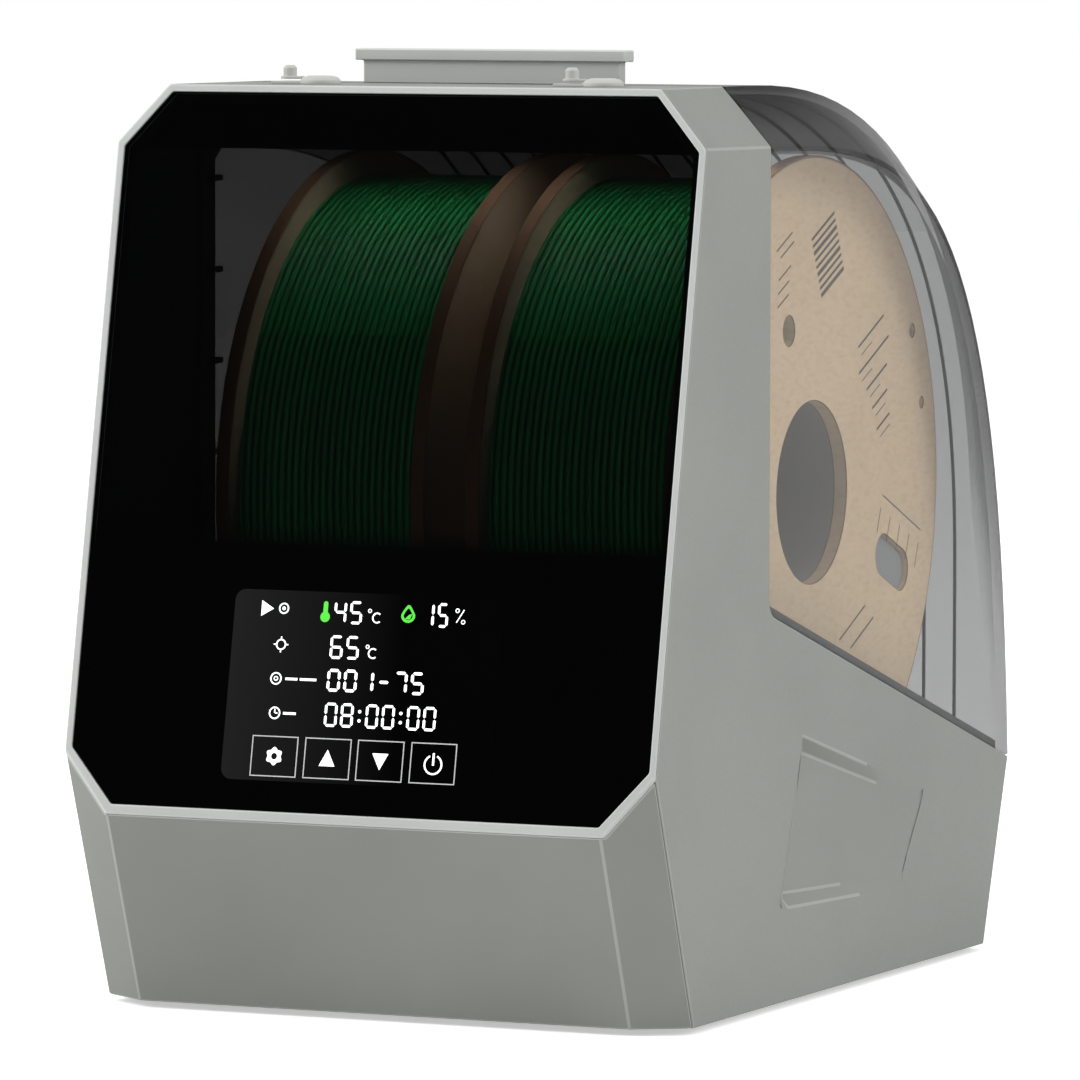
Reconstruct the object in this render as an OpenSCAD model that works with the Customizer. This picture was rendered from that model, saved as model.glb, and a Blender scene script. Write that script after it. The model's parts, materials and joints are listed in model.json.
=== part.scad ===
// Filament dryer box for two spools.
// X runs across the front, Y from the front to the rear and Z up.
// The origin is on the bench, under the middle of the object.

/* [Body] */
// Width across the side panels
body_w = 186; // [182:1:196]
// Height of the flat top above the shell's lower edge
body_h = 265.5; // [262:0.5:272]
// Wall thickness of the shells
wall = 2.5; // [2:0.1:2.8]
// Lean of the front window from the vertical, in degrees
front_tilt = 11.1; // [9:0.1:12]
// Height of the fold between the window and the chin
fold_z = 56.4; // [54:0.2:58]
// How far the chin runs back under the fold
chin_back = 20.9; // [18:0.1:23]
// Width of the corner chamfers, seen from the front
edge_w = 15.3; // [13:0.1:17]
// Height of the top corner chamfers
edge_h = 16.9; // [15:0.1:18]
// Height of the window's lower side corners
corner_z = 74.1; // [72:0.1:76]
// Depth of the fixed band from the fold to its rear edge
band_back = 85.5; // [84:0.5:87]

/* [Lid] */
// Rearmost reach of the lid's middle strip
lid_reach = 288; // [286:0.5:292]
// Height of the seam under the lid at the band's rear edge
seam_front_z = 113.7; // [112:0.1:115]
// Slope of the seam towards the rear, in degrees
seam_slope = 16.8; // [16:0.1:17.5]
// Gap all round between the lid and the body
lid_gap = 0.5; // [0.4:0.1:0.6]
// Length of the pull handle's cap
handle_l = 86.8; // [70:0.2:100]

/* [Spools] */
// Flange radius of a spool
spool_r = 100; // [99:0.1:100]
// Width of a spool over its flanges
spool_w = 67.4; // [64:0.1:68]
// Radius of a spool's centre hole
spool_bore_r = 27.2; // [25:0.1:28]
// Radius of the wound filament
filament_r = 90; // [60:1:92]
// Distance between the inner faces of the two spools
spool_gap = 13.2; // [12:0.1:14]
// Thickness of a cardboard flange
flange_t = 4.3; // [3:0.1:5]

/* [Rollers] */
// Radius of a support roller
roller_r = 9; // [8:0.1:9.4]
// Distance of each roller axle from the spool's centre line, along Y
roller_y = 59.5; // [56:0.1:62]
// Radius of a roller axle
axle_r = 3; // [2.5:0.1:3.5]

/* [Hidden] */
foot_h = 2;
foot_r = 9;
curve_steps = 26;
far = 420;
half_w = body_w / 2;
mid_half = half_w - edge_w;
origin_y = (lid_reach + 4) / 2;

// The side outline's rear curve and the middle outline's rear curve, as centre, radii and power
side_curve = [50, -105.7, 228, 354.1, 4.16];
mid_curve = [103.5, 108.7, lid_reach - 103.5, body_h - 108.7, 2.44];
rear_lean = 0.35;

glass_t = 3;
glass_side = 2.1;
glass_foot = 3;
bezel_t = 4.2;
lip_t = 0.8;
lip_w = 1.2;
chin_gap = 0.4;
chin_short = 0.1;
ledge = 3;

deck_z = 38;
deck_t = 2.5;
deck_top = deck_z + deck_t;
shelf_z = 133;
bulkhead_back = 24;

spool_y = 162.8;
spool_z = 143.9;
spool_in = spool_gap / 2;
spool_out = spool_in + spool_w;
core_r = 45;
hub_wall = 2.6;
running = 0.05;
roller_gap = 0.3;
roller_dz = sqrt(pow(spool_r + roller_r + roller_gap, 2) - pow(roller_y, 2));
roller_z = spool_z - roller_dz;
roller_in = 2.6;
roller_out = 77.9;
bush_l = 8;
bush_r = 5.4;
cradle_x = 79.9;
cradle_t = 3;

hinge_y = lid_reach + 0.8;
hinge_r = 3.2;
hinge_leaf_t = 1.8;
hinge_pin_r = 1.5;
hinge_x = 55;
knuckle_l = 9;

outlet_x = 45;
outlet_y = 63.5;
outlet_arm = 4.9;
outlet_bore_r = 2.4;
outlet_neck_r = 3.4;
outlet_hinge_z = 2.4;
plug_r = 1.95;
plug_h = 5.4;

handle_y = 93.5;
handle_cap_d = 6.8;
handle_cap_t = 3.4;
handle_web_d = 4.1;
handle_web_inset = 2.1;
handle_h = 10;

fan_y = 80;
fan_r = 35;
fan_z = 6;
fan_h = 26;
fan_wheel_r = 27;
duct_x = [2, 36];
duct_y = [118, 262];
heater_y = [135, 200];
inlet_x = -50;
inlet_z = 22;
inlet_y = 270;

// ---------- outlines and frames ----------

function front_y(z) = (z - fold_z) * tan(front_tilt);
function seam_z(y) = seam_front_z - (y - band_back) * tan(seam_slope);
function slope_len(z) = (z - fold_z) / cos(front_tilt);

// Points of a rear curve, from its top down to the height low_z, drawn in by inset
function bow(curve, low_z, inset = 0) =
    let (ry = curve[2] - inset, rz = curve[3] - inset, power = 2 / curve[4])
    let (last = asin(pow(max(0, low_z - curve[1]) / rz, 1 / power)))
    [
        for (i = [0 : curve_steps])
            let (t = 90 - (90 - last) * i / curve_steps)
            [curve[0] + ry * pow(cos(t), power), curve[1] + rz * pow(sin(t), power)]
    ];

side_seam_y = 275.8;
side_top_z = body_h - edge_h;
side_foot_y = front_y(corner_z) + chin_back * corner_z / fold_z;

mid_outline = concat(
    [[chin_back, 0], [0, fold_z], [front_y(body_h), body_h]],
    bow(mid_curve, mid_curve[1]),
    [
        [lid_reach, seam_z(lid_reach)],
        [lid_reach - seam_z(lid_reach) * rear_lean, 0],
    ]
);
side_outline = concat(
    [[side_foot_y, 0], [front_y(corner_z), corner_z], [front_y(side_top_z), side_top_z]],
    bow(side_curve, seam_z(side_seam_y)),
    [[side_seam_y - seam_z(side_seam_y) * rear_lean, 0]]
);

// Moves a piece from the drawing's frame, with its zero at the fold and the shell's lower edge
module placed() {
    translate([0, -origin_y, foot_h])
        children();
}

// Sweeps an outline drawn in Y and Z across the body, between two places in X
module across(x1, x2) {
    translate([x1, 0, 0])
        rotate([90, 0, 90])
            linear_extrude(x2 - x1)
                children();
}

// Local X, up the window's slope, and out towards the viewer
module on_window() {
    translate([0, 0, fold_z])
        rotate([90 - front_tilt, 0, 0])
            children();
}

module both_sides() {
    children();
    mirror([1, 0, 0])
        children();
}

// Box given by its low corner and its high corner
module block(low, high) {
    translate(low)
        cube(high - low);
}

// Round bar along X
module bar_x(x1, x2, y, z, r) {
    translate([x1, y, z])
        rotate([0, 90, 0])
            cylinder(h = x2 - x1, r = r, $fn = 64);
}

// The whole outer form of the box, drawn in by inset
module body_form(inset) {
    edge_ease = 0.44;
    hull() {
        across(-mid_half + inset * edge_ease, mid_half - inset * edge_ease)
            offset(delta = -inset)
                polygon(mid_outline);
        across(-half_w + inset, half_w - inset)
            offset(delta = -inset)
                polygon(side_outline);
    }
}

// The lid's share of the box: behind the band and above the seam, drawn in by gap
module lid_zone(gap) {
    r = 6;
    y0 = band_back + gap;
    lift = gap / cos(seam_slope);
    centre = [y0 + r, seam_z(y0 + r) + lift + r / cos(seam_slope)];
    across(-half_w - 10, half_w + 10)
        polygon(concat(
            [[far, far], [y0, far]],
            [for (a = [180 : 10 : 270]) centre + r * [cos(min(a, 270 - seam_slope)), sin(min(a, 270 - seam_slope))]],
            [[far, seam_z(far) + lift]]
        ));
}

// The front zone that the bezel and the window fill: a thin lip out to the box's edges, and a deeper part inside them
module window_zone() {
    on_window() {
        block([-half_w - 10, 0, -lip_t], [half_w + 10, 300, 20]);
        translate([0, 0, -bezel_t])
            linear_extrude(bezel_t + 20)
                window_outline(lip_w, lip_w);
    }
}

// The window's eight-sided outline, drawn in by inset at the sides and by foot at the bottom
module window_outline(inset, foot) {
    top = slope_len(body_h) - inset;
    high = slope_len(side_top_z) - inset * 0.45;
    low = slope_len(corner_z) + inset * 0.45;
    inner = mid_half - inset * 0.45;
    outer = half_w - inset;
    polygon([
        [-inner, foot], [inner, foot], [outer, low], [outer, high],
        [inner, top], [-inner, top], [-outer, high], [-outer, low],
    ]);
}

// ---------- outer shells ----------

// Corners of the side grip, in Y and Z: its outer rim, and the deep edge at its front
grip_rim = [[110.5, 76.5], [94.7, 27.5], [190, 24.5], [206, 52]];
grip_deep = [[109.3, 72.9], [97.8, 31.4], [98.4, 31.2], [109.9, 72.7]];
grip_depth = 3.8;
grip_band = 3.7;
grip_run_in = 0.06;

// The material behind the grip
module grip_backing() {
    hull() {
        across(half_w - wall - 1, half_w - wall)
            polygon(grip_rim);
        across(half_w - grip_depth - 2, half_w - grip_depth - 1.9)
            offset(delta = 2.5)
                polygon(grip_deep);
    }
}

// The grip's hollow: its floor rises from the deep front edge to the surface, between two sloping bands
module grip() {
    steps = 9;
    sections = [
        for (i = [0 : steps])
            let (
                t = i == 0 ? 0 : grip_run_in + (0.98 - grip_run_in) * (i - 1) / (steps - 1),
                depth = i == 0 ? 0.05 : grip_depth * (1 - t) / (1 - grip_run_in),
                top = grip_rim[0] * (1 - t) + grip_rim[3] * t,
                low = grip_rim[1] * (1 - t) + grip_rim[2] * t
            )
            [
                [half_w + 1, top[0], top[1]], [half_w, top[0], top[1]],
                [half_w - depth, top[0], top[1] - grip_band], [half_w - depth, low[0], low[1] + grip_band],
                [half_w, low[0], low[1]], [half_w + 1, low[0], low[1]],
            ]
    ];
    count = 6;
    polyhedron(
        points = [for (section = sections) each section],
        faces = [
            [for (k = [count - 1 : -1 : 0]) k],
            for (i = [0 : steps - 1], k = [0 : count - 1])
                let (a = i * count + k, b = i * count + (k + 1) % count)
                each [[a, b, b + count], [a, b + count, a + count]],
            [for (k = [0 : count - 1]) steps * count + k],
        ]
    );
}

// Section of the rear panel in Y and Z, between two heights, grown outwards by out
module rear_section(z_low, z_high, out) {
    foot = lid_reach - seam_z(lid_reach) * rear_lean;
    polygon([
        [foot + z_low * rear_lean + out, z_low],
        [foot + z_high * rear_lean + out, z_high],
        [foot + z_high * rear_lean - wall - 0.3, z_high],
        [foot + z_low * rear_lean - wall - 0.3, z_low],
    ]);
}

// The part of the box in front of the chin's rear edge
module chin_zone(gap) {
    slope = (side_foot_y - front_y(corner_z)) / corner_z;
    across(-half_w - 10, half_w + 10)
        polygon([
            [-30, -5],
            [side_foot_y + 5 * slope + gap, -5],
            [front_y(corner_z) - 10 * slope + gap, corner_z + 10],
            [-30, corner_z + 10],
        ]);
}

module main_housing() {
    color([0.62, 0.63, 0.60])
        placed()
            difference() {
                union() {
                    difference() {
                        body_form(0);
                        body_form(wall);
                    }
                    both_sides()
                        grip_backing();
                }
                both_sides()
                    grip();
                lid_zone(0);
                chin_zone(chin_gap - chin_short);
                window_zone();
                base_opening();
                across(-71.2, 71.2)
                    rear_section(3.8, 46.2, 1);
                hinge_notches();
                for (side = [-1, 1])
                    translate([side * outlet_x + outlet_arm, outlet_y, body_h - wall - 1])
                        cylinder(h = wall + 2, r = outlet_neck_r, $fn = 48);
            }
}

module chin_cover() {
    color([0.55, 0.56, 0.53])
        placed()
            difference() {
                intersection() {
                    body_form(0);
                    chin_zone(-chin_short);
                }
                body_form(wall);
                window_zone();
                base_opening();
            }
}

module front_bezel() {
    depth = bezel_t + 1;
    color([0.78, 0.79, 0.77])
        placed()
            difference() {
                intersection() {
                    body_form(0);
                    window_zone();
                }
                on_window()
                    translate([0, 0, -glass_t - 0.4])
                        linear_extrude(depth)
                            window_outline(glass_side, glass_foot);
                on_window()
                    translate([0, 0, -depth])
                        linear_extrude(depth)
                            window_outline(glass_side + ledge, glass_foot + ledge);
            }
}

module front_glass() {
    color([0.03, 0.03, 0.03, 0.9])
        placed()
            on_window()
                translate([0, 0, -glass_t - 0.3])
                    linear_extrude(glass_t)
                        window_outline(glass_side + 0.1, glass_foot + 0.1);
}

module rear_panel() {
    pocket_w = 40;
    pocket_h = 26;
    color([0.2, 0.2, 0.2])
        placed()
            difference() {
                union() {
                    across(-71, 71)
                        rear_section(4, 46, 0);
                    block(
                        [inlet_x - pocket_w / 2, inlet_y - wall, inlet_z - pocket_h / 2],
                        [inlet_x + pocket_w / 2, inlet_y + 12, inlet_z + pocket_h / 2]
                    );
                }
                across(-71, 71)
                    polygon([
                        [lid_reach - seam_z(lid_reach) * rear_lean, 0],
                        [lid_reach, seam_z(lid_reach)],
                        [lid_reach + 20, seam_z(lid_reach)],
                        [lid_reach + 20, 0],
                    ]);
                block(
                    [inlet_x - pocket_w / 2 + 2, inlet_y, inlet_z - pocket_h / 2 + 2],
                    [inlet_x + pocket_w / 2 - 2, far, inlet_z + pocket_h / 2 - 2]
                );
                block([inlet_x - 14.2, inlet_y - 10, inlet_z - 10.2], [inlet_x + 14.2, far, inlet_z + 10.2]);
                for (i = [0 : 7])
                    block([10 + 6 * i, 200, 14], [13 + 6 * i, far, 36]);
            }
}

// Eight-sided outline of the base, drawn in by inset from the shell's lower edge
module base_outline(inset) {
    corner = mid_half - 2;
    side = half_w - inset;
    rear = lid_reach - seam_z(lid_reach) * rear_lean - inset;
    side_rear = side_seam_y - seam_z(side_seam_y) * rear_lean - inset;
    polygon([
        [corner, chin_back + inset], [side, side_foot_y + inset], [side, side_rear], [corner, rear],
        [-corner, rear], [-side, side_rear], [-side, side_foot_y + inset], [-corner, chin_back + inset],
    ]);
}

module base_opening() {
    translate([0, 0, -1])
        linear_extrude(wall + 1.1)
            base_outline(wall + 0.9);
}

module base_plate() {
    color([0.25, 0.25, 0.25])
        placed()
            difference() {
                linear_extrude(wall)
                    base_outline(wall + 1.2);
                for (p = screw_places)
                    translate([p[0], p[1], -1])
                        cylinder(h = wall + 2, r = 1.7, $fn = 32);
                for (i = [-5 : 5])
                    block([6 * i - 1.5, 62, -1], [6 * i + 1.5, 98, wall + 1]);
            }
}

screw_places = [for (x = [-78, 78], y = [50, 128, 240]) [x, y]];

module base_screws() {
    color([0.55, 0.55, 0.57])
        placed()
            for (p = screw_places)
                translate([p[0], p[1], 0]) {
                    translate([0, 0, -1.4])
                        difference() {
                            cylinder(h = 1.4, r = 2.8, $fn = 32);
                            translate([0, 0, -0.6])
                                cylinder(h = 1.4, r = 1.2, $fn = 6);
                        }
                    cylinder(h = 12, r = 1.5, $fn = 32);
                }
}

module rubber_feet() {
    color([0.1, 0.1, 0.1])
        placed()
            for (x = [-62, 62], y = [45, 238])
                translate([x, y, -foot_h]) {
                    cylinder(h = foot_h, r = foot_r, $fn = 48);
                }
}

// ---------- front panel electronics ----------

module display_module() {
    color([0.08, 0.08, 0.09])
        placed()
            on_window() {
                block([-42.4, 26.6, -8], [42.4, 66.4, -3.6]);
                block([-38, 30, -9.6], [38, 63, -8]);
            }
}

module touch_board() {
    color([0.12, 0.2, 0.14])
        placed()
            on_window() {
                block([-42.4, 10, -5], [42.4, 26, -3.6]);
                for (x = [-25.9, -9.1, 7.5, 24.1])
                    block([x - 5, 13, -6.2], [x + 5, 23, -5]);
            }
}

module control_board() {
    color([0.1, 0.3, 0.18])
        placed()
            on_window() {
                block([-48, 8, -11.6], [48, 72, -10]);
                block([-9, 30, -13.2], [5, 44, -11.6]);
                block([20, 46, -16], [34, 58, -11.6]);
                block([-48, 12, -18], [-36, 18, -11.6]);
                for (x = [12, 22, 32])
                    translate([x, 20, -19])
                        cylinder(h = 7.4, r = 3, $fn = 24);
            }
}

// ---------- chamber ----------

module inner_liner() {
    color([0.05, 0.05, 0.05])
        placed()
            difference() {
                body_form(wall + 0.3);
                body_form(wall + 1.8);
                block([-half_w, band_back - 5.3, -5], [half_w, far, far]);
                block([-half_w, -20, -5], [half_w, far, shelf_z + 0.3]);
                on_window()
                    block([-half_w, -100, -bezel_t - 0.3], [half_w, 300, 30]);
                for (side = [-1, 1])
                    translate([side * outlet_x + outlet_arm, outlet_y, 240])
                        cylinder(h = 40, r = outlet_neck_r + 0.2, $fn = 48);
            }
}

// Inner rim that backs the seam, stands up past it and carries the gasket
module seal_frame() {
    color([0.07, 0.07, 0.07])
        placed()
            difference() {
                intersection() {
                    body_form(wall);
                    lid_zone(-5);
                }
                body_form(wall + 3.2);
                lid_zone(4);
                difference() {
                    lid_zone(-0.2);
                    body_form(wall + 1.8);
                }
                both_sides()
                    block([half_w - grip_depth - 2.2, 90, 0], [half_w, 130, 84]);
            }
}

module lid_gasket() {
    color([0.16, 0.16, 0.16])
        placed()
            difference() {
                intersection() {
                    body_form(wall + 0.5);
                    lid_zone(0.3);
                }
                body_form(wall + 1.7);
                lid_zone(3.8);
            }
}

module bulkhead() {
    back = bulkhead_back / cos(front_tilt);
    glass_back = bezel_t / cos(front_tilt) + 0.4;
    low = front_y(deck_top) + back;
    color([0.06, 0.06, 0.06])
        placed()
            across(-half_w + wall + 2.2, half_w - wall - 2.2)
                polygon([
                    [low, deck_top], [front_y(shelf_z) + back, shelf_z],
                    [front_y(shelf_z) + glass_back, shelf_z],
                    [front_y(shelf_z - 2) + glass_back, shelf_z - 2],
                    [front_y(shelf_z - 2) + back - 2, shelf_z - 2], [low - 2, deck_top],
                ]);
}

module sensor_board() {
    x = 62;
    color([0.15, 0.35, 0.6])
        placed()
            on_window() {
                block([x - 8, 60, -bulkhead_back - 3.6], [x + 8, 72, -bulkhead_back - 2]);
                block([x - 3, 63, -bulkhead_back - 5.6], [x + 3, 69, -bulkhead_back - 3.6]);
                for (dx = [-5.5, 5.5])
                    block([x + dx - 1, 65, -bulkhead_back - 2], [x + dx + 1, 67, -bulkhead_back]);
            }
}

module chamber_deck() {
    front = front_y(deck_top) + bulkhead_back / cos(front_tilt) - 2;
    color([0.09, 0.09, 0.09])
        placed()
            difference() {
                union() {
                    difference() {
                        intersection() {
                            body_form(wall + 0.2);
                            block([-half_w, front, deck_z], [half_w, far, deck_top]);
                        }
                        both_sides()
                            block([half_w - grip_depth - 2.3, 88, 0], [half_w, 212, far]);
                    }
                    for (p = screw_places)
                        translate([p[0], p[1], wall])
                            cylinder(h = deck_z - wall, r = 4, $fn = 32);
                }
                for (p = screw_places)
                    translate([p[0], p[1], wall - 1])
                        cylinder(h = 13, r = 1.5, $fn = 32);
                for (i = [-3 : 3])
                    block([6 * i - 1.5, fan_y - 18, deck_z - 1], [6 * i + 1.5, fan_y + 14, deck_top + 1]);
                block([duct_x[0] + 2, 238, deck_z - 1], [duct_x[1] - 2, 260, deck_top + 1]);
            }
}

module deck_grille() {
    color([0.12, 0.12, 0.12])
        placed()
            difference() {
                block([duct_x[0] - 2, 236.6, deck_top], [duct_x[1] + 2, 263, deck_top + 1.6]);
                for (i = [0 : 5])
                    block(
                        [duct_x[0] + 3 + 5 * i, 239, deck_top - 1],
                        [duct_x[0] + 6 + 5 * i, 259, deck_top + 3]
                    );
            }
}

// ---------- lid ----------

// A flat side window of the lid, drawn in by inset from the curved edge
module side_window(x1, x2, inset) {
    intersection() {
        across(x1, x2)
            polygon(concat([[0, 0], [0, side_top_z - inset]], bow(side_curve, 10, inset), [[200, 0]]));
        lid_zone(lid_gap);
    }
}

module lid_strip() {
    rim = 1.2;
    color([0.1, 0.1, 0.1, 0.8])
        placed()
            difference() {
                intersection() {
                    body_form(0);
                    lid_zone(lid_gap);
                }
                body_form(wall);
                both_sides()
                    side_window(half_w - wall - 0.02, half_w + 1, rim);
                hinge_notches();
                for (x = [-30, 30])
                    translate([x, handle_y + handle_cap_d / 2, body_h - wall - 3])
                        cylinder(h = 10, r = 1.6, $fn = 32);
            }
}

module lid_side() {
    color([0.75, 0.77, 0.78, 0.4])
        placed()
            side_window(half_w - wall, half_w - 0.1, 1.3);
}

module lid_side_right() {
    lid_side();
}

module lid_side_left() {
    mirror([1, 0, 0])
        lid_side();
}

module lid_handle() {
    mid_y = handle_y + handle_cap_d / 2;
    web_l = handle_l - 2 * handle_web_inset;
    color([0.62, 0.63, 0.60])
        placed()
            difference() {
                union() {
                    block(
                        [-handle_l / 2, handle_y, body_h + handle_h - handle_cap_t],
                        [handle_l / 2, handle_y + handle_cap_d, body_h + handle_h]
                    );
                    block(
                        [-web_l / 2, mid_y - handle_web_d / 2, body_h],
                        [web_l / 2, mid_y + handle_web_d / 2, body_h + handle_h - handle_cap_t]
                    );
                }
                for (x = [-30, 30])
                    translate([x, mid_y, body_h - 1])
                        cylinder(h = 6.5, r = 1.2, $fn = 32);
            }
}

module handle_screws() {
    color([0.5, 0.5, 0.52])
        placed()
            for (x = [-30, 30])
                translate([x, handle_y + handle_cap_d / 2, body_h - wall - 1.4]) {
                    cylinder(h = 1.3, r = 2.8, $fn = 32);
                    cylinder(h = 8.5, r = 1.2, $fn = 32);
                }
}

// ---------- hinges ----------

// Round room for the hinge barrels in the lid's and the body's rear edges
module hinge_notches() {
    for (x = [-hinge_x, hinge_x])
        bar_x(x - 16, x + 16, hinge_y, seam_z(hinge_y), hinge_r + 0.6);
}

// One knuckle from the place x on, with its leaf given as an outline in Y and Z
module knuckle(x) {
    difference() {
        union() {
            bar_x(x, x + knuckle_l, hinge_y, seam_z(hinge_y), hinge_r);
            across(x, x + knuckle_l)
                children();
        }
        bar_x(x - 1, x + knuckle_l + 1, hinge_y, seam_z(hinge_y), hinge_pin_r + running);
    }
}

module lid_hinge_leaves() {
    low = seam_z(hinge_y) + 1;
    color([0.15, 0.15, 0.15])
        placed()
            for (x = [-hinge_x, hinge_x], dx = [-1.5 * knuckle_l - 0.3, knuckle_l / 2 + 0.3])
                knuckle(x + dx)
                    polygon([
                        [lid_reach, low], [lid_reach + hinge_leaf_t, low],
                        [lid_reach + hinge_leaf_t, low + 13], [lid_reach, low + 13],
                    ]);
}

module base_hinge_leaves() {
    high = seam_z(hinge_y) - 1;
    low = high - 13;
    foot = lid_reach - seam_z(lid_reach) * rear_lean;
    color([0.15, 0.15, 0.15])
        placed()
            for (x = [-hinge_x, hinge_x])
                knuckle(x - knuckle_l / 2)
                    polygon([
                        [foot + low * rear_lean, low], [foot + low * rear_lean + hinge_leaf_t, low],
                        [foot + high * rear_lean + hinge_leaf_t, high], [foot + high * rear_lean, high],
                    ]);
}

module hinge_pins() {
    color([0.7, 0.7, 0.72])
        placed()
            for (x = [-hinge_x, hinge_x])
                bar_x(x - 15, x + 15, hinge_y, seam_z(hinge_y), hinge_pin_r);
}

// ---------- filament outlets ----------

module outlet_grommet(side) {
    base_w = 8;
    color([0.5, 0.5, 0.49])
        placed()
            translate([side * outlet_x, outlet_y, body_h])
                difference() {
                    union() {
                        block([-9.2, -base_w / 2, 0], [outlet_arm, base_w / 2, 0.8]);
                        translate([outlet_arm, 0, 0])
                            rotate_extrude($fn = 48)
                                polygon([
                                    [outlet_bore_r, -5.6], [outlet_neck_r + 1.2, -5.6],
                                    [outlet_neck_r - 0.05, -4.6], [outlet_neck_r - 0.05, 0],
                                    [6, 0], [5.9, 1.1], [5, 2], [3.4, 2.4], [outlet_bore_r, 2.4],
                                ]);
                    }
                    translate([outlet_arm, 0, -8])
                        cylinder(h = 20, r = outlet_bore_r, $fn = 48);
                }
}

module outlet_grommet_left() {
    outlet_grommet(-1);
}

module outlet_grommet_right() {
    outlet_grommet(1);
}

// The stopper stands pin up beside its outlet and swings over by its strap
module outlet_plug(side) {
    color([0.6, 0.6, 0.59])
        placed()
            translate([side * outlet_x, outlet_y, body_h])
                union() {
                    translate([-outlet_arm, 0, outlet_hinge_z - 1])
                        cylinder(h = 0.8, r = 2.7, $fn = 48);
                    block([-outlet_arm, -1.6, outlet_hinge_z - 1], [-1, 1.6, outlet_hinge_z - 0.2]);
                    translate([-outlet_arm, 0, outlet_hinge_z - 0.3])
                        cylinder(h = plug_h - outlet_hinge_z + 0.3 - 0.8, r = plug_r, $fn = 48);
                    translate([-outlet_arm, 0, plug_h - 0.8])
                        cylinder(h = 0.8, r1 = plug_r, r2 = plug_r - 0.7, $fn = 48);
                }
}

module outlet_plug_left() {
    outlet_plug(-1);
}

module outlet_plug_right() {
    outlet_plug(1);
}

// ---------- rollers ----------

module roller_cradle() {
    color([0.12, 0.12, 0.12])
        placed()
            difference() {
                union() {
                    for (x = [-cradle_x, 0, cradle_x]) {
                        across(x - cradle_t / 2, x + cradle_t / 2)
                            polygon([
                                [spool_y - roller_y - 14, deck_top],
                                [spool_y - roller_y - 6, roller_z + 5],
                                [spool_y - roller_y + 6, roller_z + 5],
                                [spool_y - roller_y + 16, deck_top + 5],
                                [spool_y + roller_y - 16, deck_top + 5],
                                [spool_y + roller_y - 6, roller_z + 5],
                                [spool_y + roller_y + 6, roller_z + 5],
                                [spool_y + roller_y + 14, deck_top],
                            ]);
                    }
                    for (y = [spool_y - roller_y, spool_y + roller_y])
                        block([-cradle_x, y - 7, deck_top], [cradle_x, y + 7, deck_top + 1.4]);
                }
                for (y = [spool_y - roller_y, spool_y + roller_y])
                    bar_x(-cradle_x - 5, cradle_x + 5, y, roller_z, axle_r);
            }
}

module axle(y) {
    color([0.7, 0.7, 0.72])
        placed()
            bar_x(-cradle_x - 3, cradle_x + 3, y, roller_z, axle_r);
}

module front_axle() {
    axle(spool_y - roller_y);
}

module rear_axle() {
    axle(spool_y + roller_y);
}

// Low and high end of a roller along X; side is -1 for the left and 1 for the right
function roller_ends(side) = side > 0 ? [roller_in, roller_out] : [-roller_out, -roller_in];

module roller(side, y) {
    ends = roller_ends(side);
    color([0.3, 0.3, 0.3])
        placed()
            difference() {
                bar_x(ends[0], ends[1], y, roller_z, roller_r);
                bar_x(ends[0] - 1, ends[1] + 1, y, roller_z, axle_r + 1);
                bar_x(ends[0] - 1, ends[0] + bush_l, y, roller_z, bush_r);
                bar_x(ends[1] - bush_l, ends[1] + 1, y, roller_z, bush_r);
            }
}

module bushes(side, y) {
    ends = roller_ends(side);
    color([0.75, 0.6, 0.3])
        placed()
            for (x = [ends[0], ends[1] - bush_l])
                difference() {
                    bar_x(x, x + bush_l, y, roller_z, bush_r);
                    bar_x(x - 1, x + bush_l + 1, y, roller_z, axle_r + running);
                }
}

module roller_front_left() {
    roller(-1, spool_y - roller_y);
}

module roller_front_right() {
    roller(1, spool_y - roller_y);
}

module roller_rear_left() {
    roller(-1, spool_y + roller_y);
}

module roller_rear_right() {
    roller(1, spool_y + roller_y);
}

module bushes_front_left() {
    bushes(-1, spool_y - roller_y);
}

module bushes_front_right() {
    bushes(1, spool_y - roller_y);
}

module bushes_rear_left() {
    bushes(-1, spool_y + roller_y);
}

module bushes_rear_right() {
    bushes(1, spool_y + roller_y);
}

// ---------- spools ----------

// Low and high end of a stretch along X of one spool, measured out from its inner face
function spool_span(side, from, to) =
    side > 0 ? [spool_in + from, spool_in + to] : [-spool_in - to, -spool_in - from];

// A hole through a flange at an angle and a distance from the centre
module flange_hole(angle, distance, r) {
    bar_x(-far, far, spool_y + distance * cos(angle), spool_z + distance * sin(angle), r);
}

// A round-ended slot that points at the centre, below the level of the bore
module flange_slot() {
    across(-far, far)
        translate([spool_y, spool_z])
            rotate(-21.5)
                hull()
                    for (distance = [61, 75.5])
                        translate([distance, 0])
                            circle(r = 6.3, $fn = 48);
}

module spool_flanges(side) {
    color([0.66, 0.59, 0.48])
        placed()
            for (start = [0, spool_w - flange_t]) {
                ends = spool_span(side, start, start + flange_t);
                difference() {
                    bar_x(ends[0], ends[1], spool_y, spool_z, spool_r);
                    bar_x(ends[0] - 1, ends[1] + 1, spool_y, spool_z, spool_bore_r);
                    flange_hole(110.5, 52, 4.5);
                    flange_hole(29.5, 91, 2);
                    flange_hole(14.5, 90, 1.7);
                    flange_slot();
                }
            }
}

module spool_core(side) {
    ends = spool_span(side, flange_t, spool_w - flange_t);
    color([0.6, 0.52, 0.4])
        placed() {
            difference() {
                bar_x(ends[0], ends[1], spool_y, spool_z, core_r);
                bar_x(ends[0] - 1, ends[1] + 1, spool_y, spool_z, core_r - hub_wall);
            }
            difference() {
                bar_x(ends[0], ends[1], spool_y, spool_z, spool_bore_r + hub_wall);
                bar_x(ends[0] - 1, ends[1] + 1, spool_y, spool_z, spool_bore_r);
            }
        }
}

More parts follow.
